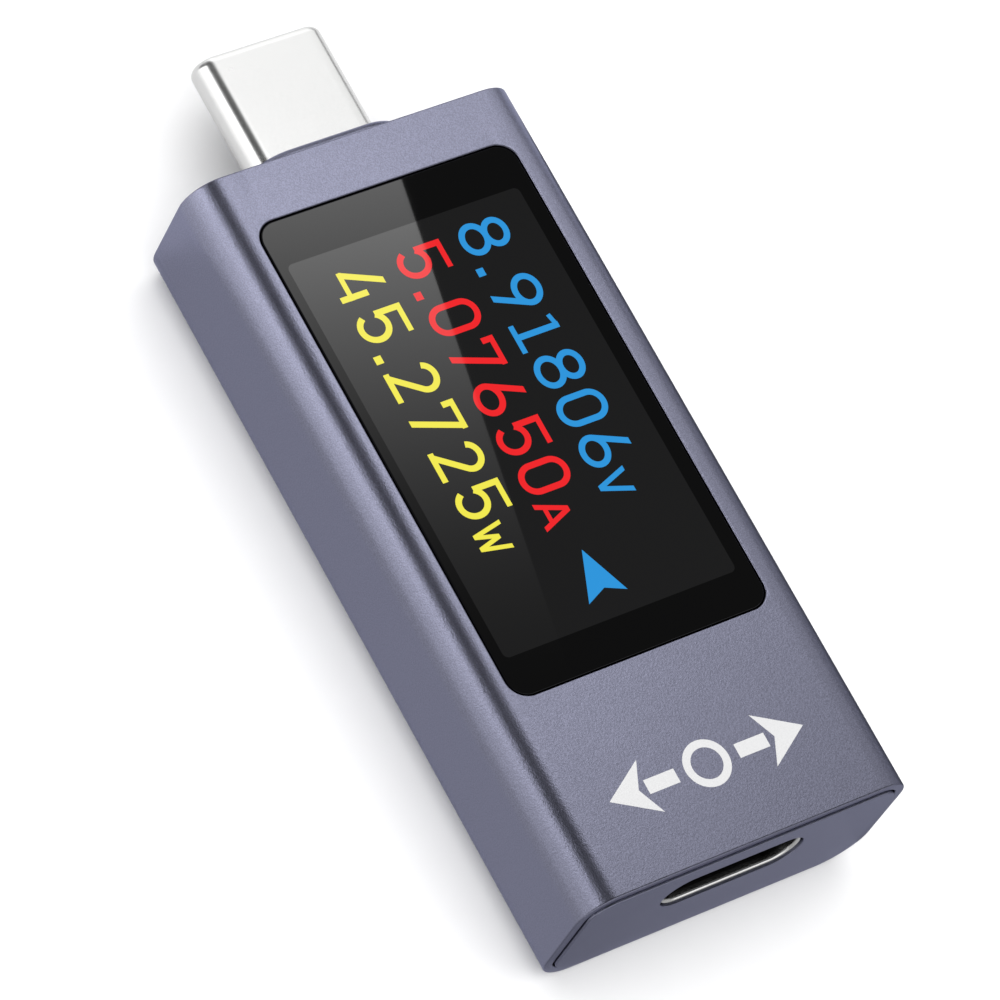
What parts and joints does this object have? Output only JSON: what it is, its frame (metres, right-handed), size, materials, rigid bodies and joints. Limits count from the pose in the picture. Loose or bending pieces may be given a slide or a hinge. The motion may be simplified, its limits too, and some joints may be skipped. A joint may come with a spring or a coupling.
{
  "type": "usb power meter",
  "caption": "Inline USB-C power meter in an anodised aluminium sleeve, with a glass window over a colour display, a plug at one end and a receptacle at the other.",
  "frame": {"origin": "centre of the bounding box's base: on the underside, midway between the rear cap's face and the plug's tip", "axes": "+X across the meter, +Y out of the plug, +Z out of the display"},
  "size_m": [0.021, 0.0542, 0.0097],
  "materials": {
    "anodised_slate": "bead-blasted, slate-grey anodised aluminium",
    "cover_glass": "polished cover glass, black ink behind its border",
    "black_adhesive": "black foam adhesive tape",
    "polarizer_film": "dark polarizer film over a lit colour display",
    "display_glass": "display glass",
    "chip_plastic": "black moulded chip packages",
    "amber_flex": "amber polyimide flex",
    "white_plastic": "white moulded reflector tray",
    "clear_acrylic": "clear acrylic",
    "grey_foam": "grey cellular foam",
    "black_board": "glass-epoxy board with black solder mask",
    "tinned_steel": "tinned or stainless sheet steel",
    "ferrite_grey": "dark grey ferrite",
    "ceramic_tan": "tan ceramic",
    "bright_nickel": "polished nickel-plated steel",
    "black_plastic": "black glass-filled moulding",
    "gold_plate": "gold-plated copper alloy"
  },
  "bodies": {
    "housing": {"sleeve": "anodised_slate", "front_cap": "anodised_slate", "rear_cap": "anodised_slate", "lens": "cover_glass", "window_tape": "black_adhesive", "lcd_polarizer": "polarizer_film", "lcd_cell": "display_glass", "lcd_driver": "chip_plastic", "lcd_flex": "amber_flex", "backlight_tray": "white_plastic", "light_guide": "clear_acrylic", "foam_left": "grey_foam", "foam_right": "grey_foam", "main_pcb": "black_board", "microcontroller": "chip_plastic", "current_sense_amplifier": "chip_plastic", "crystal": "tinned_steel", "voltage_regulator": "chip_plastic", "shunt_resistor": "tinned_steel", "inductor": "ferrite_grey", "protocol_chip": "chip_plastic", "capacitor_1": "ceramic_tan", "capacitor_2": "ceramic_tan", "capacitor_3": "ceramic_tan", "capacitor_4": "ceramic_tan", "resistor_1": "chip_plastic", "resistor_2": "chip_plastic", "resistor_3": "chip_plastic", "resistor_4": "chip_plastic", "plug_shell": "bright_nickel", "plug_insulator": "black_plastic", "plug_contacts_upper": "gold_plate", "plug_contacts_lower": "gold_plate", "receptacle_shell": "bright_nickel", "receptacle_tongue": "black_plastic", "receptacle_midplate": "tinned_steel", "receptacle_contacts_upper": "gold_plate", "receptacle_contacts_lower": "gold_plate"},
    "latch_left": {"plug_latch_left": "tinned_steel"},
    "latch_right": {"plug_latch_right": "tinned_steel"}
  },
  "joints": [
    {"name": "latch_left_flex", "type": "hinge", "parent": "housing", "child": "latch_left", "pos_m": [-0.00347, 0.01997, 0.00435], "axis": [0, 0, 1], "range_deg": [0, 2], "stiffness_Nm_per_rad": 0.4},
    {"name": "latch_right_flex", "type": "hinge", "parent": "housing", "child": "latch_right", "pos_m": [0.00347, 0.01997, 0.00435], "axis": [0, 0, -1], "range_deg": [0, 2], "stiffness_Nm_per_rad": 0.4}
  ]
}
